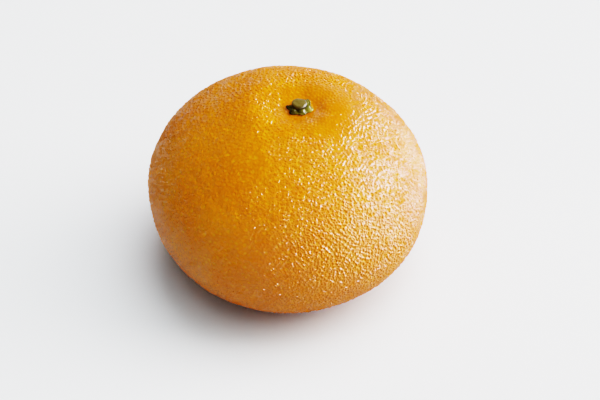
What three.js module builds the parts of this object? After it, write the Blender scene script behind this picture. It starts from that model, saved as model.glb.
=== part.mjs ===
// A whole mandarin as picked, standing on the small flat spot of its blossom end. It has three natural
// pieces: the fruit, the five-lobed calyx in the hollow of the stem end, and the stub of stem on the calyx.
// Millimetres, +Z up. The origin is on the resting plane, under the middle of the fruit.

import * as THREE from "three";

// Driving dimensions.
const FRUIT_RADIUS = 36; // at the widest level
const CROWN_HEIGHT = 27.9; // from the widest level up to where the rind would close if it had no hollow
const BELLY_DEPTH = 26.6; // from the widest level down to where it would close if it had no flat spot
const FLAT_SPOT_RADIUS = 8.5; // outer edge of the ring that the fruit rests on

// How full the upper and lower halves are: 2 is an ellipse, and more is squarer.
const CROWN_FULLNESS = 2;
const BELLY_FULLNESS = 2.2;

// The hollow round the stem, and how far the stem stands off the fruit's middle.
const HOLLOW_DEPTH = 3.4;
const HOLLOW_RADIUS = 6.8;
const STEM_OFFSET = 3.8;
const LEAN = -0.031; // sideways shift of the body for each millimetre of height

// The shallow blossom-end basin inside the resting ring.
const BASIN_RADIUS = 4.5;
const BASIN_DEPTH = 0.9;

// Slow swellings round the fruit: how many, how strong as a share of the radius, and where one peaks.
const SWELLINGS = [
  { count: 2, share: 0.0015, peak: 2.1 },
  { count: 3, share: 0.007, peak: 0.08 },
  { count: 5, share: 0.0035, peak: 0.43 },
];

// Calyx and stub of stem.
const LOBES = 5;
const CALYX_RADIUS = 3.1; // mean, between the tips and the notches
const LOBE_REACH = 0.5; // how far a tip stands out past the mean
const CALYX_THICKNESS = 0.9;
const SEAT_RADIUS = 4; // level place in the hollow that the calyx grows on
const STUB_RADIUS = 1.95;
const STUB_HEIGHT = 1.3;
const JOINT_GAP = 0.05; // between pieces that touch

// Mesh steps.
const ROUND_STEPS = 64;
const CROWN_STEPS = 22;
const BELLY_STEPS = 14;
const CALYX_ROUND_STEPS = 60;
const STUB_ROUND_STEPS = 28;

// Height of a squashed round form over its widest level, at a radius given as a share of the widest.
function domeHeight(share, height, fullness) {
  return height * (1 - share ** fullness) ** (1 / fullness);
}

const WIDEST_LEVEL = domeHeight(FLAT_SPOT_RADIUS / FRUIT_RADIUS, BELLY_DEPTH, BELLY_FULLNESS);

// Height of the rind over the resting plane at a radius round the stem, on the upper half.
function crownLevel(radius) {
  const dome = domeHeight(radius / FRUIT_RADIUS, CROWN_HEIGHT, CROWN_FULLNESS);
  return WIDEST_LEVEL + dome - HOLLOW_DEPTH * Math.exp(-((radius / HOLLOW_RADIUS) ** 2));
}

const SEAT_SHARE = SEAT_RADIUS / FRUIT_RADIUS;
const SEAT_LEVEL = crownLevel(SEAT_RADIUS);
const STEM_X = STEM_OFFSET + LEAN * (SEAT_LEVEL - WIDEST_LEVEL);

// Half outline of the fruit from the middle of the base to the middle of the calyx's seat.
function fruitOutline() {
  const points = [
    new THREE.Vector2(0, BASIN_DEPTH),
    new THREE.Vector2(BASIN_RADIUS / 2, BASIN_DEPTH * 0.75),
    new THREE.Vector2(BASIN_RADIUS, 0),
    new THREE.Vector2(FLAT_SPOT_RADIUS, 0),
  ];
  const flatShare = FLAT_SPOT_RADIUS / FRUIT_RADIUS;
  for (let i = 1; i <= BELLY_STEPS; i++) {
    const share = Math.sin(THREE.MathUtils.lerp(Math.asin(flatShare), Math.PI / 2, i / BELLY_STEPS));
    const level = WIDEST_LEVEL - domeHeight(share, BELLY_DEPTH, BELLY_FULLNESS);
    points.push(new THREE.Vector2(share * FRUIT_RADIUS, level));
  }
  for (let i = 1; i <= CROWN_STEPS; i++) {
    const share = Math.sin(THREE.MathUtils.lerp(Math.PI / 2, Math.asin(SEAT_SHARE), i / CROWN_STEPS));
    points.push(new THREE.Vector2(share * FRUIT_RADIUS, crownLevel(share * FRUIT_RADIUS)));
  }
  points.push(new THREE.Vector2(0, SEAT_LEVEL));
  return points;
}

// Sum of the swellings at a bearing round the fruit.
function swellingAt(bearing) {
  return SWELLINGS.reduce((sum, s) => sum + s.share * Math.cos(s.count * (bearing - s.peak)), 0);
}

// A turned outline, stood up along +Z. A lathe turns round Y.
function turned(outline, steps) {
  return new THREE.LatheGeometry(outline, steps).rotateX(Math.PI / 2);
}

// Moves every vertex of a geometry by a function of its place.
function reshape(geometry, move) {
  const places = geometry.getAttribute("position");
  const place = new THREE.Vector3();
  for (let i = 0; i < places.count; i++) {
    place.fromBufferAttribute(places, i);
    move(place);
    places.setXYZ(i, place.x, place.y, place.z);
  }
  geometry.computeVertexNormals();
  return geometry;
}

// The fruit: the swellings fade towards both ends, the body leans, and the crown draws over to the stem.
function fruitGeometry() {
  return reshape(turned(fruitOutline(), ROUND_STEPS), (p) => {
    const share = Math.hypot(p.x, p.y) / FRUIT_RADIUS;
    const swell = 1 + share ** 2 * swellingAt(Math.atan2(p.y, p.x));
    const rise = p.z - WIDEST_LEVEL;
    const outward = Math.max(0, share - SEAT_SHARE) / (1 - SEAT_SHARE);
    const towardsStem = rise > 0 ? STEM_OFFSET * (1 - outward) ** 2 : 0;
    p.set(p.x * swell + LEAN * rise + towardsStem, p.y * swell, p.z);
  });
}

// The calyx: a thick disc, level on both faces and round at the rim, whose rim runs out into the lobes.
function calyxGeometry() {
  const edge = CALYX_THICKNESS / 2;
  const flat = CALYX_RADIUS - edge;
  const outline = [new THREE.Vector2(0, 0), new THREE.Vector2(flat, 0)];
  const rimSteps = 6;
  for (let i = 1; i < rimSteps; i++) {
    const turn = (Math.PI * i) / rimSteps;
    outline.push(new THREE.Vector2(flat + edge * Math.sin(turn), edge - edge * Math.cos(turn)));
  }
  outline.push(new THREE.Vector2(flat, CALYX_THICKNESS), new THREE.Vector2(0, CALYX_THICKNESS));
  return reshape(turned(outline, CALYX_ROUND_STEPS), (p) => {
    const lobe = 1 + (LOBE_REACH / CALYX_RADIUS) * Math.cos(LOBES * Math.atan2(p.y, p.x));
    p.set(p.x * lobe, p.y * lobe, p.z);
  });
}

// The stub: an upright wall that rounds over into a low dome.
function stubGeometry() {
  const shoulder = STUB_HEIGHT * 0.45;
  const outline = [new THREE.Vector2(0, 0), new THREE.Vector2(STUB_RADIUS, 0)];
  const domeSteps = 8;
  for (let i = 0; i <= domeSteps; i++) {
    const turn = (Math.PI / 2) * (i / domeSteps);
    const level = shoulder + (STUB_HEIGHT - shoulder) * Math.sin(turn);
    outline.push(new THREE.Vector2(i === domeSteps ? 0 : STUB_RADIUS * Math.cos(turn), level));
  }
  return turned(outline, STUB_ROUND_STEPS);
}

function piece(name, geometry, look, x, z) {
  const mesh = new THREE.Mesh(geometry, new THREE.MeshStandardMaterial(look));
  mesh.name = name;
  mesh.position.set(x, 0, z);
  return mesh;
}

const RIND = { color: 0xe8920a, roughness: 0.42, metalness: 0 };
const CALYX = { color: 0x7d8230, roughness: 0.45, metalness: 0 };
const STEM = { color: 0x7a7436, roughness: 0.5, metalness: 0 };

const calyxLevel = SEAT_LEVEL + JOINT_GAP;
const stubLevel = calyxLevel + CALYX_THICKNESS + JOINT_GAP;

const mandarin = new THREE.Group();
mandarin.add(piece("fruit", fruitGeometry(), RIND, 0, 0));
mandarin.add(piece("calyx", calyxGeometry(), CALYX, STEM_X, calyxLevel));
mandarin.add(piece("stem_stub", stubGeometry(), STEM, STEM_X, stubLevel));

export default mandarin;
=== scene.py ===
# %% [markdown]
# # A mandarin, as picked
# A whole mandarin stands on the small flat spot of its blossom end. We see a squat round fruit, a rind
# set all over with oil glands, and, in a hollow on top, the green calyx with its stub of stem.
# The CAD part gives the sizes and places. This lesson grows the real surface over it:
# the rind with Geometry Nodes, the calyx and the stub as small modelled meshes.
# Every length is given in millimetres where it is named, and turned to metres when a mesh is made.

import math

import bpy
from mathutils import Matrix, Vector, noise


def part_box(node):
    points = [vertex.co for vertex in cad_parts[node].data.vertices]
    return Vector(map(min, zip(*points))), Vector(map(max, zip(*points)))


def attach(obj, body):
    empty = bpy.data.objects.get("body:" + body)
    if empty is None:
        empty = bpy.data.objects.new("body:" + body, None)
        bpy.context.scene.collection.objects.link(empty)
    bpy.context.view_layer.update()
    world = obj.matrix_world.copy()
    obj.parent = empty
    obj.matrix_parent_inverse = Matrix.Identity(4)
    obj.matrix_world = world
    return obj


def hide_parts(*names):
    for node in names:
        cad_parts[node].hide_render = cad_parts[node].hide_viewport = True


MM = 0.001  # one millimetre in metres

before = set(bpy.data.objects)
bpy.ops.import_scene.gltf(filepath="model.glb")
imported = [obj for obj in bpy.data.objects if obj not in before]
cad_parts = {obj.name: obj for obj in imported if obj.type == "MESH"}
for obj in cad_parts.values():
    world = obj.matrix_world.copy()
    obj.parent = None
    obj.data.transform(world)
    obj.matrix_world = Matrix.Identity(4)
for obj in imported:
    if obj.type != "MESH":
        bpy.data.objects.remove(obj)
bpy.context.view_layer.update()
print("CAD pieces:", sorted(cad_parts))

# %% [markdown]
# ## Where things are
# The boxes of two CAD pieces, the calyx and the stub, say where the calyx sits and how tall the stub is.
# Nothing here is placed by eye: each piece is built round these numbers.

# %% Places, in millimetres
calyx_low, calyx_high = (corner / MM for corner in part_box("calyx"))
stub_low, stub_high = (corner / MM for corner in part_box("stem_stub"))

STEM = (stub_low + stub_high) / 2
SEAT_LEVEL = calyx_low.z
CALYX_TOP = calyx_high.z
STUB_RADIUS = (stub_high.x - stub_low.x) / 2
print(f"stem at x {STEM.x:.2f} mm, seat at {SEAT_LEVEL:.2f} mm, stub {STUB_RADIUS:.2f} mm in radius")

# %% [markdown]
# ## The fruit's form as a rule
# A mandarin is a squashed ball. The upper half is an ellipse in outline and the lower half is a little
# squarer. A soft hollow surrounds the stem, the stem stands off the middle, the body leans, and the sides
# swell slowly round the fruit. The same few numbers shaped the CAD solid, so the skin lies on it.

# %% The numbers of the form
FRUIT_RADIUS = 36.0
CROWN_HEIGHT = 27.9
BELLY_DEPTH = 26.6
CROWN_FULLNESS = 2.0
BELLY_FULLNESS = 2.2
FLAT_SPOT_RADIUS = 8.5
HOLLOW_DEPTH = 3.4
HOLLOW_RADIUS = 6.8
STEM_OFFSET = 3.8
SEAT_RADIUS = 4.0
LEAN = -0.031  # sideways shift for each millimetre of height
BASIN_RADIUS = 4.5
BASIN_DEPTH = 0.9
SWELLINGS = ((2, 0.0015, 2.1), (3, 0.007, 0.08), (5, 0.0035, 0.43))  # how many, share, bearing of a peak

flat_share = FLAT_SPOT_RADIUS / FRUIT_RADIUS
WIDEST_LEVEL = BELLY_DEPTH * (1 - flat_share**BELLY_FULLNESS) ** (1 / BELLY_FULLNESS)
print(f"widest level {WIDEST_LEVEL:.2f} mm over the base")

# %% [markdown]
# ## Two small helpers
# Colours are easiest to pick as sRGB hex, and shaders work in linear light, so one function turns the
# first into the second. The other function adds a node: it applies the settings, fills the node's inputs
# in order, links those that are sockets, and hands back the node's first output.

# %% Helpers
def linear(hex_colour):
    """A linear RGBA colour from an sRGB hex value."""
    channels = [int(hex_colour[i : i + 2], 16) / 255 for i in (1, 3, 5)]
    return tuple(c / 12.92 if c <= 0.04045 else ((c + 0.055) / 1.055) ** 2.4 for c in channels) + (1.0,)


def add(tree, kind, *inputs, **settings):
    """Adds a node, fills or links its inputs in order, and returns its first output in use."""
    node = tree.nodes.new(kind)
    for name, value in settings.items():
        setattr(node, name, value)
    for socket, value in zip([s for s in node.inputs if s.enabled], inputs):
        if isinstance(value, bpy.types.NodeSocket):
            tree.links.new(value, socket)
        elif value is not None:
            socket.default_value = value
    used = [s for s in node.outputs if s.enabled]
    return used[0] if used else node


print("orange peel in linear light:", [round(c, 3) for c in linear("#E8920A")])

# %% [markdown]
# ## Rind: waxed citrus peel
# The real one is a living skin: a thin clear wax over cells full of orange pigment, with round oil glands
# just under it. The wax gives a gloss, the pigment lets light in and spreads it, and the glands show as
# paler, yellower dots. Pigment is uneven, so the colour drifts slowly over centimetres.
# One glossy surface over a body that scatters all its light inside does this without any picture. The
# scattering keeps the orange smooth under the deep relief, so that the relief shows in the gloss.

# %% The rind's colour
MATH = "ShaderNodeMath"
VECTOR = "ShaderNodeVectorMath"


def new_finish(name):
    """A new material, its node tree and its Principled shader."""
    material = bpy.data.materials.new(name)
    material.use_nodes = True
    return material, material.node_tree, material.node_tree.nodes["Principled BSDF"]


waxed_peel, tree, shader = new_finish("waxed_citrus_peel")
place = add(tree, "ShaderNodeTexCoord").node.outputs["Object"]

# Slow drift of the pigment.
PATCHES_PER_METRE = 70.0  # about 14 mm wide
BLOTCHES_PER_METRE = 260.0  # about 4 mm wide
patches = add(tree, "ShaderNodeTexNoise", place, PATCHES_PER_METRE, 2.0, 0.5)
blotches = add(tree, "ShaderNodeTexNoise", place, BLOTCHES_PER_METRE, 3.0, 0.6)
drift = add(tree, "ShaderNodeMix", 0.35, patches, blotches, data_type="FLOAT")
pigment = add(tree, "ShaderNodeValToRGB", drift)
ramp = pigment.node.color_ramp
ramp.elements[0].position, ramp.elements[0].color = 0.36, linear("#E57906")
ramp.elements[1].position, ramp.elements[1].color = 0.64, linear("#EC8609")

# Each gland is a touch paler and yellower than the skin between, some more than others.
gland = add(tree, "ShaderNodeAttribute", attribute_name="gland").node.outputs["Fac"]
tint = add(tree, "ShaderNodeAttribute", attribute_name="gland_tint").node.outputs["Fac"]
tint = add(tree, MATH, tint, 2.0, operation="POWER")
strength = add(tree, MATH, tint, 0.6, 0.15, operation="MULTIPLY_ADD")
pale = add(tree, MATH, gland, strength, operation="MULTIPLY")
peel_colour = add(tree, "ShaderNodeMix", pale, pigment, linear("#F8B222"), data_type="RGBA")
# The scar at the blossom end is dry brown cork.
scar = add(tree, "ShaderNodeAttribute", attribute_name="scar").node.outputs["Fac"]
peel_colour = add(tree, "ShaderNodeMix", scar, peel_colour, linear("#6A4A22"), data_type="RGBA")
tree.links.new(peel_colour, shader.inputs["Base Color"])

# %% [markdown]
# The wax is thin and worn a little unevenly. It is nearly smooth itself, but the skin under it is bumpy
# at every size, which breaks a reflected window into many small glints. Glands and the lumps between
# them are real geometry. Half-millimetre bumps and a faint grain are left to bump.

# %% The rind's gloss and grain
WORN_PER_METRE = 120.0  # about 8 mm wide
worn = add(tree, "ShaderNodeTexNoise", place, WORN_PER_METRE, 2.0, 0.5)
roughness = add(tree, "ShaderNodeMapRange", worn, 0.35, 0.65, 0.07, 0.11)
tree.links.new(roughness, shader.inputs["Roughness"])
shader.inputs["IOR"].default_value = 1.45
shader.subsurface_method = "BURLEY"
shader.inputs["Subsurface Weight"].default_value = 1.0
shader.inputs["Subsurface Radius"].default_value = (1.0, 0.9, 0.7)
shader.inputs["Subsurface Scale"].default_value = 1.2 * MM

# Bumps half a millimetre wide, and a faint grain over everything. Both fade where the rind is tight.
BUMP_WIDTH = 0.5 * MM
GRAIN_WIDTH = 0.2 * MM
GRAIN_SHARE = 0.04
BUMP_HEIGHT = 0.45 * MM
bumps = add(tree, "ShaderNodeTexNoise", place, 1 / BUMP_WIDTH, 0.0, 0.5)
grain = add(tree, "ShaderNodeTexNoise", place, 1 / GRAIN_WIDTH, 2.0, 0.6)
fine_skin = add(tree, "ShaderNodeMix", GRAIN_SHARE, bumps, grain, data_type="FLOAT")
relief = add(tree, "ShaderNodeAttribute", attribute_name="relief").node.outputs["Fac"]
skin_bump = add(tree, "ShaderNodeBump", relief, BUMP_HEIGHT, None, fine_skin)
tree.links.new(skin_bump, shader.inputs["Normal"])
print(waxed_peel.name, "has", len(tree.nodes), "nodes")

# %% [markdown]
# ## A tree for the form
# The first Geometry Nodes tree is a rule for one point: it takes a place on a plain squashed ball and
# gives the place on the fruit. A displaced or sculpted ball would do too, but a rule keeps the skin on
# the CAD solid and can be read. It works in millimetres.

# %% New trees
def new_tree(name, inputs, outputs):
    """An empty tree with named inputs and outputs. Returns the tree, its given values and its result."""
    tree = bpy.data.node_groups.new(name, "GeometryNodeTree")
    kinds = {
        tuple: "NodeSocketVector",
        float: "NodeSocketFloat",
        int: "NodeSocketInt",
        type(None): "NodeSocketMaterial",
    }
    for title, value in inputs.items():
        socket = tree.interface.new_socket(title, in_out="INPUT", socket_type=kinds[type(value)])
        if value is not None:
            socket.default_value = value
    for title, kind in outputs.items():
        tree.interface.new_socket(title, in_out="OUTPUT", socket_type=kind)
    return tree, tree.nodes.new("NodeGroupInput").outputs, tree.nodes.new("NodeGroupOutput").inputs


form, given, result = new_tree(
    "Mandarin form",
    {
        "Place": (0.0, 0.0, 0.0),
        "Radius": FRUIT_RADIUS,
        "Crown Height": CROWN_HEIGHT,
        "Belly Depth": BELLY_DEPTH,
        "Widest Level": WIDEST_LEVEL,
        "Stem Offset": STEM_OFFSET,
        "Lean": LEAN,
        "Hollow Depth": HOLLOW_DEPTH,
        "Hollow Radius": HOLLOW_RADIUS,
        "Basin Depth": BASIN_DEPTH,
    },
    {"Place": "NodeSocketVector"},
)
print(form.name, "takes", len(given) - 1, "inputs")

# %% [markdown]
# The point is first turned into a direction from the middle. A squarer outline is the same direction
# drawn out a little further between the pole and the widest level.

# %% The squashed ball
_, _, ball_z = add(form, "ShaderNodeSeparateXYZ", given["Place"]).node.outputs
upper = add(form, "FunctionNodeCompare", ball_z, 0.0, data_type="FLOAT", operation="GREATER_THAN")
half_height = add(
    form, "GeometryNodeSwitch", upper, given["Belly Depth"], given["Crown Height"],
    input_type="FLOAT",
)
fullness = add(form, "GeometryNodeSwitch", upper, BELLY_FULLNESS, CROWN_FULLNESS, input_type="FLOAT")
half_size = add(form, "ShaderNodeCombineXYZ", given["Radius"], given["Radius"], half_height)
direction = add(
    form, VECTOR, add(form, VECTOR, given["Place"], half_size, operation="DIVIDE"),
    operation="NORMALIZE",
)
dir_x, dir_y, dir_z = add(form, "ShaderNodeSeparateXYZ", direction).node.outputs
level_part = add(form, VECTOR, direction, (1.0, 1.0, 0.0), operation="MULTIPLY")
across = add(form, VECTOR, level_part, operation="LENGTH")
across_power = add(form, MATH, across, fullness, operation="POWER")
up_power = add(form, MATH, add(form, MATH, dir_z, operation="ABSOLUTE"), fullness, operation="POWER")
reach_power = add(form, MATH, -1.0, fullness, operation="DIVIDE")
reach = add(form, MATH, add(form, MATH, across_power, up_power), reach_power, operation="POWER")
drawn_out = add(form, VECTOR, direction, reach, operation="SCALE")
body = add(form, VECTOR, drawn_out, half_size, operation="MULTIPLY")
# Distance from the axis, 1 at the widest level.
share = add(form, MATH, across, reach, operation="MULTIPLY")
bearing = add(form, MATH, dir_y, dir_x, operation="ARCTAN2")
print("squashed ball:", len(form.nodes), "nodes")

# %% [markdown]
# Slow swellings run round the sides and fade towards both ends. The crown is drawn over to the stem, so
# that the pole of the ball becomes the middle of the calyx's seat, and the whole body leans.

# %% Swellings, hollow and lean
swelling = 0.0
for count, strength, peak in SWELLINGS:
    turn = add(
        form, MATH, add(form, MATH, bearing, peak, operation="SUBTRACT"), float(count),
        operation="MULTIPLY",
    )
    wave = add(form, MATH, add(form, MATH, turn, operation="COSINE"), strength, operation="MULTIPLY")
    swelling = add(form, MATH, wave, swelling)
share_square = add(form, MATH, share, share, operation="MULTIPLY")
swell = add(form, MATH, share_square, swelling, 1.0, operation="MULTIPLY_ADD")

radius = add(form, MATH, share, given["Radius"], operation="MULTIPLY")
hollow_share = add(form, MATH, radius, given["Hollow Radius"], operation="DIVIDE")
hollow_square = add(form, MATH, hollow_share, 2.0, operation="POWER")
hollow_fall = add(
    form, MATH, add(form, MATH, hollow_square, -1.0, operation="MULTIPLY"), operation="EXPONENT",
)
hollow = add(form, MATH, hollow_fall, given["Hollow Depth"], operation="MULTIPLY")

outward = add(form, "ShaderNodeMapRange", radius, SEAT_RADIUS, given["Radius"], 1.0, 0.0)
drawn = add(
    form, MATH, add(form, MATH, outward, outward, operation="MULTIPLY"), given["Stem Offset"],
    operation="MULTIPLY",
)
print("swellings, hollow and lean:", len(form.nodes), "nodes")

# %% [markdown]
# Round the stem the rind puckers into a few soft folds, and one side of the hollow has a broad lip.
# Small lumps keep the sides from looking turned on a lathe.

# %% Puckers, lip and lumps
PUCKERS = 9.0
PUCKER_HEIGHT = 0.09
folds_in = add(form, "ShaderNodeMapRange", radius, 4.0, 6.5, 0.0, 1.0, interpolation_type="SMOOTHSTEP")
folds_out = add(form, "ShaderNodeMapRange", radius, 7.5, 14.0, 1.0, 0.0, interpolation_type="SMOOTHSTEP")
wander = add(form, "ShaderNodeTexNoise", direction, 2.5, 1.0, 0.5)
fold_turn = add(
    form, MATH, bearing, PUCKERS, add(form, MATH, wander, 9.0, operation="MULTIPLY"),
    operation="MULTIPLY_ADD",
)
fold_wave = add(
    form, MATH, add(form, MATH, fold_turn, operation="COSINE"), PUCKER_HEIGHT, operation="MULTIPLY",
)
folds = add(
    form, MATH, fold_wave, add(form, MATH, folds_in, folds_out, operation="MULTIPLY"),
    operation="MULTIPLY",
)

LIP_BEARING = 2.95  # radians
LIP_RADIUS = 11.0
LIP_WIDTH = 4.0
LIP_HEIGHT = 0.85
lip_turn = add(
    form, MATH, add(form, MATH, bearing, LIP_BEARING, operation="SUBTRACT"), operation="COSINE",
)
lip_side = add(form, "ShaderNodeMapRange", lip_turn, 0.1, 0.95, 0.0, 1.0, interpolation_type="SMOOTHSTEP")
lip_gap = add(form, MATH, radius, LIP_RADIUS, operation="SUBTRACT")
lip_square = add(
    form, MATH, add(form, MATH, lip_gap, LIP_WIDTH, operation="DIVIDE"), 2.0, operation="POWER",
)
lip_fall = add(form, MATH, add(form, MATH, lip_square, -1.0, operation="MULTIPLY"), operation="EXPONENT")
lip = add(
    form, MATH, add(form, MATH, lip_fall, lip_side, operation="MULTIPLY"), LIP_HEIGHT,
    operation="MULTIPLY",
)

lumps = add(form, "ShaderNodeTexNoise", direction, 2.2, 2.0, 0.5)
lumpy = add(form, "ShaderNodeMapRange", lumps, 0.0, 1.0, 0.988, 1.012)
print("puckers, lip and lumps:", len(form.nodes), "nodes")

# %% [markdown]
# The pieces are put together. On the upper half the hollow is taken off and the folds added. On the
# lower half everything under the resting plane is pressed flat, and the blossom end keeps its basin,
# with the low round scar where the flower's style dropped off.

# %% The place on the fruit
SCAR_RISE = 0.3  # how far the scar stands out of the basin
body_x, body_y, body_z = add(
    form, "ShaderNodeSeparateXYZ", add(form, VECTOR, body, lumpy, operation="SCALE"),
).node.outputs
crown_rise = add(form, MATH, add(form, MATH, folds, lip), hollow, operation="SUBTRACT")
crown_rise = add(form, "GeometryNodeSwitch", upper, 0.0, crown_rise, input_type="FLOAT")
free_level = add(form, MATH, add(form, MATH, body_z, crown_rise), given["Widest Level"])

near_seat = add(
    form, "ShaderNodeMapRange", radius, SEAT_RADIUS * 0.8, SEAT_RADIUS * 1.15, 1.0, 0.0,
    interpolation_type="SMOOTHSTEP",
)
near_seat = add(form, "GeometryNodeSwitch", upper, 0.0, near_seat, input_type="FLOAT")
seated = add(form, "ShaderNodeMix", near_seat, free_level, SEAT_LEVEL, data_type="FLOAT")

basin = add(
    form, "ShaderNodeMapRange", radius, BASIN_RADIUS, 0.5, 0.0, given["Basin Depth"],
    interpolation_type="SMOOTHSTEP",
)
scar = add(form, "ShaderNodeMapRange", radius, 1.3, 0.8, 0.0, SCAR_RISE, interpolation_type="SMOOTHSTEP")
basin = add(form, MATH, basin, scar, operation="SUBTRACT")
basin = add(form, "GeometryNodeSwitch", upper, basin, 0.0, input_type="FLOAT")
level = add(form, MATH, add(form, MATH, seated, 0.0, operation="MAXIMUM"), basin)

rise = add(form, MATH, level, given["Widest Level"], operation="SUBTRACT")
shift = add(
    form, MATH, rise, given["Lean"],
    add(form, "GeometryNodeSwitch", upper, 0.0, drawn, input_type="FLOAT"),
    operation="MULTIPLY_ADD",
)
final_x = add(form, MATH, body_x, swell, shift, operation="MULTIPLY_ADD")
final_y = add(form, MATH, body_y, swell, operation="MULTIPLY")
form.links.new(add(form, "ShaderNodeCombineXYZ", final_x, final_y, level), result["Place"])
print(form.name, "is", len(form.nodes), "nodes")

# %% [markdown]
# ## A tree for the skin
# Oil glands lie under the rind about a millimetre apart, evenly but in no pattern, and each shows as a
# shallow pit. So the tree scatters points on the ball that keep a least distance, joins them with a
# convex hull into a net of triangles, and turns the net inside out with Dual Mesh: now each gland has
# a cell of its own. The cells are moved onto the fruit, and a pit is pressed into each one.
# A bump map could show pits, but not on the outline, and not in the exported mesh.

# %% Points and cells
GLAND_SPACING = 0.96  # least distance between two glands; they come out about 1.2 mm apart

skin, given, result = new_tree(
    "Gland skin",
    {
        "Gland Spacing": GLAND_SPACING,
        "Pit Width": 0.62,
        "Pit Depth": 0.42,
        "Skin Lumps": 0.26,
        "Seed": 7,
        "Material": None,
    },
    {"Skin": "NodeSocketGeometry"},
)
BALL = (FRUIT_RADIUS, FRUIT_RADIUS, (CROWN_HEIGHT + BELLY_DEPTH) / 2)
spot = add(skin, "GeometryNodeInputPosition")
ball = add(skin, "GeometryNodeMeshIcoSphere", 1.0, 7)
ball = add(
    skin, "GeometryNodeSetPosition", ball, None,
    add(skin, VECTOR, spot, BALL, operation="MULTIPLY"),
)
points = add(
    skin, "GeometryNodeDistributePointsOnFaces", ball, None, given["Gland Spacing"], 14.0, 1.0,
    given["Seed"], distribute_method="POISSON",
)
outwards = add(skin, VECTOR, add(skin, VECTOR, spot, BALL, operation="DIVIDE"), operation="NORMALIZE")
points = add(
    skin, "GeometryNodeSetPosition", points, None,
    add(skin, VECTOR, outwards, BALL, operation="MULTIPLY"),
)
cells = add(skin, "GeometryNodeDualMesh", add(skin, "GeometryNodeConvexHull", points))
on_fruit = add(skin, "GeometryNodeGroup", spot, node_tree=form)
cells = add(skin, "GeometryNodeSetPosition", cells, None, on_fruit)
print("points and cells:", len(skin.nodes), "nodes")

# %% [markdown]
# Each cell keeps a number of its own between 0 and 1, so that no two glands are alike. The pits fade
# out in the hollow, where the rind is drawn tight, and they are shallower round the blossom end.

# %% What each gland is given
TIGHT_SIDE = 5.0  # the middle of the tight rind lies this far to the right of the stem
TIGHT_INNER, TIGHT_OUTER = 6.0, 14.0  # the tight rind gives way to pitted rind between these
TIGHT_LEAST = 0.1  # how much relief the tightest rind keeps, as a share
PIT_LEAST = 0.5  # how deep a pit still is in the tight rind, as a share
chance = add(skin, "FunctionNodeRandomValue", 0.0, 1.0, None, given["Seed"], data_type="FLOAT")
cells = add(
    skin, "GeometryNodeStoreNamedAttribute", cells, None, "gland_tint", chance, data_type="FLOAT",
    domain="FACE",
)
own = add(skin, "GeometryNodeInputNamedAttribute", "gland_tint", data_type="FLOAT")
own_again = add(skin, MATH, add(skin, MATH, own, 7.31, operation="MULTIPLY"), operation="FRACT")

_, _, spot_z = add(skin, "ShaderNodeSeparateXYZ", spot).node.outputs
from_stem = add(skin, VECTOR, spot, (STEM.x + TIGHT_SIDE, 0.0, STEM.z), operation="DISTANCE")
from_base = add(skin, VECTOR, spot, (-LEAN * WIDEST_LEVEL, 0.0, BASIN_DEPTH), operation="DISTANCE")
crown_fade = add(
    skin, "ShaderNodeMapRange", from_stem, TIGHT_INNER, TIGHT_OUTER, TIGHT_LEAST, 1.0,
    interpolation_type="SMOOTHSTEP",
)
base_fade = add(
    skin, "ShaderNodeMapRange", from_base, 2.0, 12.0, 0.25, 1.0, interpolation_type="SMOOTHSTEP",
)
broad = add(skin, "ShaderNodeTexNoise", spot, 0.09, 1.0, 0.5)
uneven = add(skin, "ShaderNodeMapRange", broad, 0.3, 0.7, 0.7, 1.15)
fade = add(
    skin, MATH, add(skin, MATH, crown_fade, base_fade, operation="MULTIPLY"), uneven,
    operation="MULTIPLY",
)
pit_fade = add(skin, MATH, fade, PIT_LEAST, operation="MAXIMUM")
own_depth = add(skin, MATH, own, 0.8, 0.6, operation="MULTIPLY_ADD")
depth_part = add(skin, MATH, own_depth, pit_fade, operation="MULTIPLY")
pit_depth = add(skin, MATH, depth_part, given["Pit Depth"], operation="MULTIPLY")
width_part = add(skin, MATH, own_again, 0.34, 0.83, operation="MULTIPLY_ADD")
narrow = add(skin, "ShaderNodeMapRange", crown_fade, TIGHT_LEAST, 1.0, 0.6, 1.0)
width_part = add(skin, MATH, width_part, narrow, operation="MULTIPLY")
pit_width = add(skin, MATH, width_part, given["Pit Width"], operation="MULTIPLY")
print("gland numbers:", len(skin.nodes), "nodes")

# %% [markdown]
# A pit is two steps in one face: draw the cell's face in to the pit's rim, then draw the rim's face down
# to a single point at the bottom. The second leaves all its corners in one place, so they are merged.

# %% Pits
TINY = 0.002
RIM_DROP = 0.4  # how much of the depth is already reached at the rim

rim_drop = add(skin, MATH, pit_depth, -RIM_DROP, operation="MULTIPLY")
rimmed = add(skin, "GeometryNodeExtrudeMesh", cells, None, None, rim_drop, True, mode="FACES")
rim_face = rimmed.node.outputs["Top"]
rimmed = add(skin, "GeometryNodeScaleElements", rimmed, rim_face, pit_width, domain="FACE")
rimmed = add(
    skin, "GeometryNodeStoreNamedAttribute", rimmed, rim_face, "gland", 0.35, data_type="FLOAT",
    domain="POINT",
)
floor_drop = add(skin, MATH, pit_depth, RIM_DROP - 1.0, operation="MULTIPLY")
sunk = add(skin, "GeometryNodeExtrudeMesh", rimmed, rim_face, None, floor_drop, True, mode="FACES")
floor_face = sunk.node.outputs["Top"]
sunk = add(skin, "GeometryNodeScaleElements", sunk, floor_face, 0.0, domain="FACE")
sunk = add(
    skin, "GeometryNodeStoreNamedAttribute", sunk, floor_face, "gland", 1.0, data_type="FLOAT",
    domain="POINT",
)
pitted = add(skin, "GeometryNodeMergeByDistance", sunk, floor_face, TINY)
pitted = add(
    skin, "GeometryNodeStoreNamedAttribute", pitted, None, "gland_tint", own, data_type="FLOAT",
    domain="POINT",
)

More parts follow.
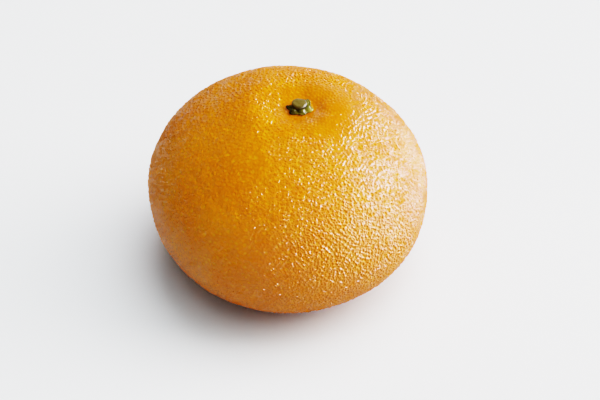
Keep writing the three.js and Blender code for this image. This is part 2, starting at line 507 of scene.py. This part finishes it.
# Lumps between the glands, in no order, push every point in or out along the skin's own normal.
lump = add(skin, "ShaderNodeTexNoise", spot, 1.7, 0.0, 0.5)
lump_level = add(skin, "ShaderNodeMapRange", lump, 0.3, 0.7, -0.5, 0.5)
lump_height = add(skin, MATH, lump_level, given["Skin Lumps"], operation="MULTIPLY")
lump_height = add(skin, MATH, lump_height, fade, operation="MULTIPLY")
lump_push = add(skin, VECTOR, add(skin, "GeometryNodeInputNormal"), lump_height, operation="SCALE")
pitted = add(
    skin, "GeometryNodeStoreNamedAttribute", pitted, None, "relief", fade, data_type="FLOAT",
    domain="POINT",
)
scar = add(skin, "ShaderNodeMapRange", from_base, 1.6, 1.0, 0.0, 1.0, interpolation_type="SMOOTHSTEP")
pitted = add(
    skin, "GeometryNodeStoreNamedAttribute", pitted, None, "scar", scar, data_type="FLOAT",
    domain="POINT",
)
pitted = add(skin, "GeometryNodeSetPosition", pitted, None, None, lump_push)

# The resting ring is pressed against the plane that it stands on, so nothing hangs below it.
below = add(skin, MATH, add(skin, MATH, spot_z, -1.0, operation="MULTIPLY"), 0.0, operation="MAXIMUM")
pitted = add(
    skin, "GeometryNodeSetPosition", pitted, None, None,
    add(skin, "ShaderNodeCombineXYZ", 0.0, 0.0, below),
)
pitted = add(skin, "GeometryNodeSetShadeSmooth", pitted)
in_metres = add(skin, "GeometryNodeTransform", pitted, None, None, (MM, MM, MM))
whole = add(skin, "GeometryNodeRealizeInstances", in_metres)
skin.links.new(add(skin, "GeometryNodeSetMaterial", whole, None, given["Material"]), result["Skin"])
print(skin.name, "is", len(skin.nodes), "nodes")

# %% [markdown]
# ## Growing the rind
# The tree goes on an empty object as a modifier. Its inputs are set by their sockets' identifiers, the
# result is copied off as a plain mesh, and the object that carried the modifier is thrown away.

# %% The rind
def grown(name, tree, values):
    """A plain mesh object that a tree makes from nothing, with the tree's inputs set by name."""
    carrier = bpy.data.objects.new(name + "_carrier", bpy.data.meshes.new(name + "_carrier"))
    bpy.context.scene.collection.objects.link(carrier)
    modifier = carrier.modifiers.new("grow", "NODES")
    modifier.node_group = tree
    for item in tree.interface.items_tree:
        if item.item_type == "SOCKET" and item.in_out == "INPUT" and item.name in values:
            modifier[item.identifier] = values[item.name]
    ready = carrier.evaluated_get(bpy.context.evaluated_depsgraph_get())
    mesh = bpy.data.meshes.new_from_object(ready)
    carrier.modifiers.remove(modifier)
    bpy.data.objects.remove(carrier)
    mesh.name = name
    piece = bpy.data.objects.new(name, mesh)
    bpy.context.scene.collection.objects.link(piece)
    return piece


rind = grown("rind", skin, {"Material": waxed_peel})
rind.data.calc_loop_triangles()
print(
    f"rind: {len(rind.data.vertices)} points, {len(rind.data.loop_triangles)} triangles,",
    "size",
    [round(side / MM, 2) for side in rind.dimensions],
)

# %% [markdown]
# ## Calyx: leathery green sepals
# Five thick sepals, grown together, hold the fruit to its stem. They are waxy like a leaf and olive green.
# The lobes on the right, towards the window, carry painted light: a yellower green in their colour. The
# lobes on the left, away from it, carry painted shade: a dark brown. Each lobe is its own length and
# width. A turned disc whose edge runs out into the lobes makes one closed skin with no seams.

# %% The calyx's finish
sepal, tree, shader = new_finish("waxy_green_sepal")
place = add(tree, "ShaderNodeTexCoord").node.outputs["Object"]
mottle = add(tree, "ShaderNodeTexNoise", place, 1 / (1.6 * MM), 3.0, 0.6)
green = add(tree, "ShaderNodeValToRGB", mottle)
ramp = green.node.color_ramp
ramp.elements[0].position, ramp.elements[0].color = 0.35, linear("#3D370D")
ramp.elements[1].position, ramp.elements[1].color = 0.68, linear("#7D7422")
# Painted shade and painted light: lobes away from the window are painted dark brown, lobes towards it a
# yellower green.
painted_shade_mask = add(tree, "ShaderNodeAttribute", attribute_name="painted_shade").node.outputs["Fac"]
painted_light = add(tree, "ShaderNodeAttribute", attribute_name="painted_light").node.outputs["Fac"]
green = add(tree, "ShaderNodeMix", painted_light, green, linear("#C4BC4C"), data_type="RGBA")
green = add(tree, "ShaderNodeMix", painted_shade_mask, green, linear("#33260F"), data_type="RGBA")
tree.links.new(green, shader.inputs["Base Color"])
shader.inputs["Roughness"].default_value = 0.26
shader.inputs["IOR"].default_value = 1.45
shader.inputs["Coat Weight"].default_value = 0.3
shader.inputs["Coat Roughness"].default_value = 0.12
creases = add(tree, "ShaderNodeTexNoise", place, 1 / (0.5 * MM), 3.0, 0.6)
tree.links.new(add(tree, "ShaderNodeBump", 0.8, 0.2 * MM, None, creases), shader.inputs["Normal"])
print(sepal.name, "has", len(tree.nodes), "nodes")

# %% [markdown]
# A lobe is given by its bearing, how far its tip stands out from the middle, how wide it is, how high
# the tip curls, and how much painted shade and painted light its tip gets. Between lobes the edge falls
# back to the notch radius.

# %% The calyx
NOTCH_RADIUS = 2.35  # between two lobes, from the middle
LOBES = (  # bearing in degrees, tip radius, half width in degrees, curl, painted shade, painted light
    (185, 3.30, 14, 0.60, 0.9, 0.0),
    (230, 3.35, 22, 0.20, 0.6, 0.0),
    (288, 3.25, 24, 0.20, 0.3, 0.2),
    (338, 3.65, 20, 0.20, 0.0, 0.7),
    (35, 3.20, 34, 1.00, 0.1, 0.4),
)
EDGE = 0.32  # radius of the rounded edge
CALYX_SINK = 0.08  # how far it is grown into its seat
AROUND, OVER = 180, 40


def lobes_at(bearing):
    """Reach past the notch radius, curl, painted shade and painted light at a bearing in degrees."""
    reach = curl = painted_shade = lit_share = 0.0
    for at, tip, width, tip_curl, tip_shaded, tip_lit in LOBES:
        gap = (bearing - at + 180) % 360 - 180
        weight = math.exp(-abs(gap / width) ** 2.4)
        reach += (tip - NOTCH_RADIUS) * weight
        curl += tip_curl * weight
        painted_shade += tip_shaded * weight
        lit_share += tip_lit * weight
    return reach, curl, painted_shade, lit_share


def mesh_piece(name, rows, close_low, close_high, material):
    """A closed skin from rings of points, each end drawn in to a given point. Lengths in millimetres."""
    rings, around = len(rows), len(rows[0])
    points = [p for row in rows for p in row] + [close_low, close_high]
    faces = []
    for ring in range(rings - 1):
        for i in range(around):
            j = (i + 1) % around
            here, above = ring * around, (ring + 1) * around
            faces.append((here + i, here + j, above + j, above + i))
    low, high, last = rings * around, rings * around + 1, (rings - 1) * around
    faces += [(low, (i + 1) % around, i) for i in range(around)]
    faces += [(high, last + i, last + (i + 1) % around) for i in range(around)]
    mesh = bpy.data.meshes.new(name)
    mesh.from_pydata([Vector(p) * MM for p in points], [], faces)
    mesh.materials.append(material)
    mesh.shade_smooth()
    piece = bpy.data.objects.new(name, mesh)
    bpy.context.scene.collection.objects.link(piece)
    return piece


# Left alone, this noise starts from the clock. A fixed seed grows the same calyx and stub each time.
NOISE_SEED = 5
noise.seed_set(NOISE_SEED)


def ripple(point, size, strength):
    """A small smooth displacement in every direction, for a grown look. Lengths in millimetres."""
    return noise.noise_vector(Vector(point) / size) * strength


calyx_rows, painted_shade_values, painted_light_values = [], [], []
THICK = CALYX_TOP - SEAT_LEVEL
for over in range(OVER):
    along = over / (OVER - 1)
    row = []
    for step in range(AROUND):
        bearing = 360 * step / AROUND
        reach, curl, painted_shade, lit_share = lobes_at(bearing)
        tip = NOTCH_RADIUS + reach
        inner = tip - EDGE
        if along < 0.3:  # the underside, out to the edge
            distance, height = inner * (0.15 + 0.85 * along / 0.3), 0.0
        elif along < 0.55:  # round the edge
            turn = math.pi * (along - 0.3) / 0.25
            distance, height = inner + EDGE * math.sin(turn), EDGE * (1 - math.cos(turn))
        else:  # back over the top
            back = (along - 0.55) / 0.45
            distance = inner * (1 - 0.85 * back)
            height = 2 * EDGE + (THICK - 2 * EDGE) * math.sin(math.pi / 2 * min(1, back * 1.6))
            height += 0.38 * math.sin(math.pi * min(1, back * 1.5)) * min(1, reach)
        lift = curl * (distance / tip) ** 3
        angle = math.radians(bearing)
        level = SEAT_LEVEL - CALYX_SINK + height + lift
        point = Vector((STEM.x + distance * math.cos(angle), distance * math.sin(angle), level))
        point += ripple(point, 0.9, 0.16) + ripple(point, 0.4, 0.07)
        row.append(point)
        # The painted shade and painted light grow towards each lobe's tip.
        outer = max(0.0, distance / tip - 0.45) / 0.55
        painted_shade_values.append(min(1.0, painted_shade * outer))
        painted_light_values.append(min(1.0, lit_share * outer))
    calyx_rows.append(row)

under_middle = Vector((STEM.x, 0, SEAT_LEVEL - CALYX_SINK))
over_middle = Vector((STEM.x, 0, CALYX_TOP))
calyx = mesh_piece("calyx_sepals", calyx_rows, under_middle, over_middle, sepal)
for name, values in (("painted_shade", painted_shade_values), ("painted_light", painted_light_values)):
    attribute = calyx.data.attributes.new(name, "FLOAT", "POINT")
    attribute.data.foreach_set("value", values + [0.0, 0.0])
print("calyx:", [round(side / MM, 2) for side in calyx.dimensions], "mm")

# %% [markdown]
# ## Stub of stem: cut green twig
# When the fruit was clipped, a button of stem stayed on. Its side is smooth dark green bark and its top
# is the cut, dried to a lighter olive brown. It is a short turned shape, a little out of true, that
# stands on the calyx.

# %% The stub's finish
twig, tree, shader = new_finish("cut_green_twig")
place = add(tree, "ShaderNodeTexCoord").node.outputs["Object"]
bark = add(tree, "ShaderNodeTexNoise", place, 1 / (0.9 * MM), 3.0, 0.6)
bark = add(tree, "ShaderNodeValToRGB", bark)
ramp = bark.node.color_ramp
ramp.elements[0].position, ramp.elements[0].color = 0.35, linear("#3E370F")
ramp.elements[1].position, ramp.elements[1].color = 0.7, linear("#5E5420")
cut = add(tree, "ShaderNodeAttribute", attribute_name="cut").node.outputs["Fac"]
bark = add(tree, "ShaderNodeMix", cut, bark, linear("#7C6A2C"), data_type="RGBA")
tree.links.new(bark, shader.inputs["Base Color"])
shader.inputs["Roughness"].default_value = 0.5
shader.inputs["IOR"].default_value = 1.45
fibres = add(tree, "ShaderNodeTexNoise", place, 1 / (0.25 * MM), 3.0, 0.6)
tree.links.new(add(tree, "ShaderNodeBump", 0.5, 0.05 * MM, None, fibres), shader.inputs["Normal"])
print(twig.name, "has", len(tree.nodes), "nodes")

# %% The stub
stub_rows, cut_values = [], []
STUB_HEIGHT = stub_high.z - stub_low.z
STUB_STEPS, STUB_AROUND = 26, 72
STUB_SINK = 0.1  # how far it is grown into the calyx
for step in range(STUB_STEPS):
    along = step / (STUB_STEPS - 1)
    if along < 0.4:  # the side, a little narrower at its foot
        climb = along / 0.4
        distance, height = STUB_RADIUS * (0.95 + 0.05 * climb), STUB_HEIGHT * 0.5 * climb
    elif along < 0.75:  # the rounded shoulder
        turn = math.pi / 2 * (along - 0.4) / 0.35
        distance = STUB_RADIUS * (0.7 + 0.3 * math.cos(turn))
        height = STUB_HEIGHT * (0.5 + 0.45 * math.sin(turn))
    else:  # the cut, slightly domed
        inward = (along - 0.75) / 0.25
        distance = STUB_RADIUS * 0.7 * (1 - 0.9 * inward)
        height = STUB_HEIGHT * (0.95 + 0.05 * inward)
    row = []
    for i in range(STUB_AROUND):
        angle = 2 * math.pi * i / STUB_AROUND
        level = stub_low.z - STUB_SINK + height
        point = Vector((STEM.x + distance * math.cos(angle), distance * math.sin(angle), level))
        point += ripple(point, 1.3, 0.14) + ripple(point, 0.45, 0.05)
        row.append(point)
        cut_values.append(min(1.0, max(0.0, (along - 0.45) / 0.3)))
    stub_rows.append(row)

foot = Vector((STEM.x, 0, stub_low.z - STUB_SINK))
head = Vector((STEM.x, 0, stub_low.z + STUB_HEIGHT - STUB_SINK))
stub = mesh_piece("stem_button", stub_rows, foot, head + ripple(head, 1.3, 0.14), twig)
attribute = stub.data.attributes.new("cut", "FLOAT", "POINT")
attribute.data.foreach_set("value", cut_values + [0.0, 1.0])
print("stub:", [round(side / MM, 2) for side in stub.dimensions], "mm")

# %% [markdown]
# ## The room
# A plain pale floor and a pale room, with one large window to the right of the fruit. Matt light and
# gloss are lit apart: some lamps are seen only by matt light and set the colours, and others only by
# gloss and give the glints on the right flank. A real room does not part them, but this lets each be
# set without spoiling the other. The floor is white to the camera, and duller to the light that bounces
# off it, so that the underside of the fruit stays a deep orange.

# %% Floor
pale_floor, tree, shader = new_finish("pale_matte_floor")
ray = add(tree, "ShaderNodeLightPath").node.outputs
around = add(
    tree, "ShaderNodeMix", ray["Is Diffuse Ray"], linear("#E4DCCF"), linear("#86826E"),
    data_type="RGBA",
)
floor_colour = add(
    tree, "ShaderNodeMix", ray["Is Camera Ray"], around, linear("#F6F7FB"), data_type="RGBA",
)
tree.links.new(floor_colour, shader.inputs["Base Color"])
shader.inputs["Roughness"].default_value = 0.9

# Far off, where the lamps do not reach, the floor takes the glow of the room, so no horizon is seen.
BACKDROP = linear("#F1F2F6")
BACKDROP_GLOW = 1.45
from_middle = add(
    tree, VECTOR, add(tree, "ShaderNodeTexCoord").node.outputs["Object"], operation="LENGTH",
)
far = add(tree, "ShaderNodeMapRange", from_middle, 0.5, 1.4, 0.0, 1.0, interpolation_type="SMOOTHSTEP")
far_and_seen = add(tree, MATH, far, ray["Is Camera Ray"], operation="MULTIPLY")
glow = add(tree, "ShaderNodeEmission", BACKDROP, BACKDROP_GLOW)
joined = add(tree, "ShaderNodeMixShader", far_and_seen, shader.outputs["BSDF"], glow)
tree.links.new(joined, tree.nodes["Material Output"].inputs["Surface"])
FLOOR_HALF = 4.0
corners = [(x * FLOOR_HALF, y * FLOOR_HALF, 0.0) for x, y in ((-1, -1), (1, -1), (1, 1), (-1, 1))]
floor_mesh = bpy.data.meshes.new("floor")
floor_mesh.from_pydata(corners, [], [(0, 1, 2, 3)])
floor_mesh.materials.append(pale_floor)
floor = bpy.data.objects.new("floor", floor_mesh)
bpy.context.scene.collection.objects.link(floor)
print("floor", 2 * FLOOR_HALF, "m across")

# %% [markdown]
# Filmic view with strong contrast keeps the bright orange from clipping to yellow. The walls glow a little
# near the horizon and are dark overhead, so the fruit mirrors no bright ceiling. One lamp lights only the
# floor.

# %% Light
scene = bpy.context.scene
scene.view_settings.view_transform = "Filmic"
scene.view_settings.look = "Very High Contrast"
ROOM_DARK = 0.06  # glow of the room overhead
ROOM_LOW = 0.6  # glow of the room at the horizon

room = bpy.data.worlds.new("pale_room")
room.use_nodes = True
sky = room.node_tree
backdrop = sky.nodes["Background"]
_, _, up = add(
    sky, "ShaderNodeSeparateXYZ", add(sky, "ShaderNodeTexCoord").node.outputs["Generated"],
).node.outputs
walls = add(sky, "ShaderNodeMapRange", up, 0.0, 0.25, ROOM_LOW, ROOM_DARK)
seen = add(sky, "ShaderNodeLightPath").node.outputs["Is Camera Ray"]
strength = add(sky, "ShaderNodeMix", seen, walls, BACKDROP_GLOW, data_type="FLOAT")
sky.links.new(strength, backdrop.inputs["Strength"])
tone = add(sky, "ShaderNodeMix", seen, linear("#D2EEF4"), BACKDROP, data_type="RGBA")
sky.links.new(tone, backdrop.inputs["Color"])
scene.world = room

middle = Vector((0.0, 0.0, WIDEST_LEVEL * MM))


def lamp(name, bearing, elevation, distance, width, height, power):
    """A rectangular area light aimed at the middle of the fruit. Degrees, metres and watts."""
    light = bpy.data.lights.new(name, "AREA")
    light.shape, light.size, light.size_y, light.energy = "RECTANGLE", width, height, power
    holder = bpy.data.objects.new(name, light)
    turn, climb = math.radians(bearing), math.radians(elevation)
    away = Vector((math.cos(turn) * math.cos(climb), math.sin(turn) * math.cos(climb), math.sin(climb)))
    holder.location = middle + away * distance
    holder.rotation_euler = (-away).to_track_quat("-Z", "Y").to_euler()
    scene.collection.objects.link(holder)
    return holder


WARM = (1.0, 0.93, 0.88)
COOL = (0.9, 1.0, 1.0)
LILAC = (0.97, 0.94, 1.0)

window = lamp("window", 4, 36, 1.6, 1.2, 1.2, 27)
window.visible_glossy = False
window.data.color = WARM
# The same window and two dimmer walls, as the wax mirrors them.
for name, bearing, elevation, distance, width, height, power in (
    ("window_in_gloss", -1, 4, 1.6, 1.7, 1.1, 240),
    ("side_window_in_gloss", 34, 16, 1.6, 0.5, 0.5, 24),
    ("back_wall_in_gloss", 100, 12, 1.8, 3.0, 0.6, 7),
):
    gloss = lamp(name, bearing, elevation, distance, width, height, power)
    gloss.visible_diffuse = False
    gloss.data.color = LILAC
# Evens out the floor, and touches nothing else.
wash = lamp("floor_wash", 20, 75, 2.0, 1.5, 1.5, 34)
floor_only = bpy.data.collections.new("floor_only")
floor_only.objects.link(floor)
wash.light_linking.receiver_collection = floor_only
# Light thrown back by the ceiling in front of the fruit, and a little from behind it.
ceiling = lamp("ceiling_bounce", -62, 64, 2.2, 1.8, 1.8, 27)
ceiling.visible_glossy = False
ceiling.data.color = COOL
fill = lamp("back_fill", 128, 12, 1.8, 1.4, 1.0, 4)
fill.visible_glossy = False

# %% [markdown]
# ## Camera
# A long lens from arm's length, looking down on the fruit at about forty degrees. The camera is aimed a
# little right of and below the fruit, so that the fruit stands left of and above the middle of the frame.

# %% Camera
ELEVATION = math.radians(40.7)
CAMERA_DISTANCE = 0.4305
AIM_RIGHT, AIM_DOWN = 3.2, 3.55

camera = bpy.data.cameras.new("camera")
camera.lens, camera.sensor_width = 100, 36
camera.clip_start = 0.01
viewer = bpy.data.objects.new("camera", camera)
backwards = Vector((0, -math.cos(ELEVATION), math.sin(ELEVATION)))
upwards = Vector((0, math.sin(ELEVATION), math.cos(ELEVATION)))
viewer.location = middle + backwards * CAMERA_DISTANCE
aim = middle + Vector((1, 0, 0)) * AIM_RIGHT * MM - upwards * AIM_DOWN * MM
viewer.rotation_euler = (aim - viewer.location).to_track_quat("-Z", "Y").to_euler()
scene.collection.objects.link(viewer)
scene.camera = viewer
print("camera at", [round(c, 3) for c in viewer.location])

# %% [markdown]
# ## Onto the body
# Each piece rides on the part's one body and stands for its CAD node, which is hidden. The slot named with
# each piece is not used here.

# %% Pieces
for piece, node, slot in ((rind, "fruit", "rind"), (calyx, "calyx", "calyx"), (stub, "stem_stub", "stem")):
    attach(piece, "root")
    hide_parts(node)
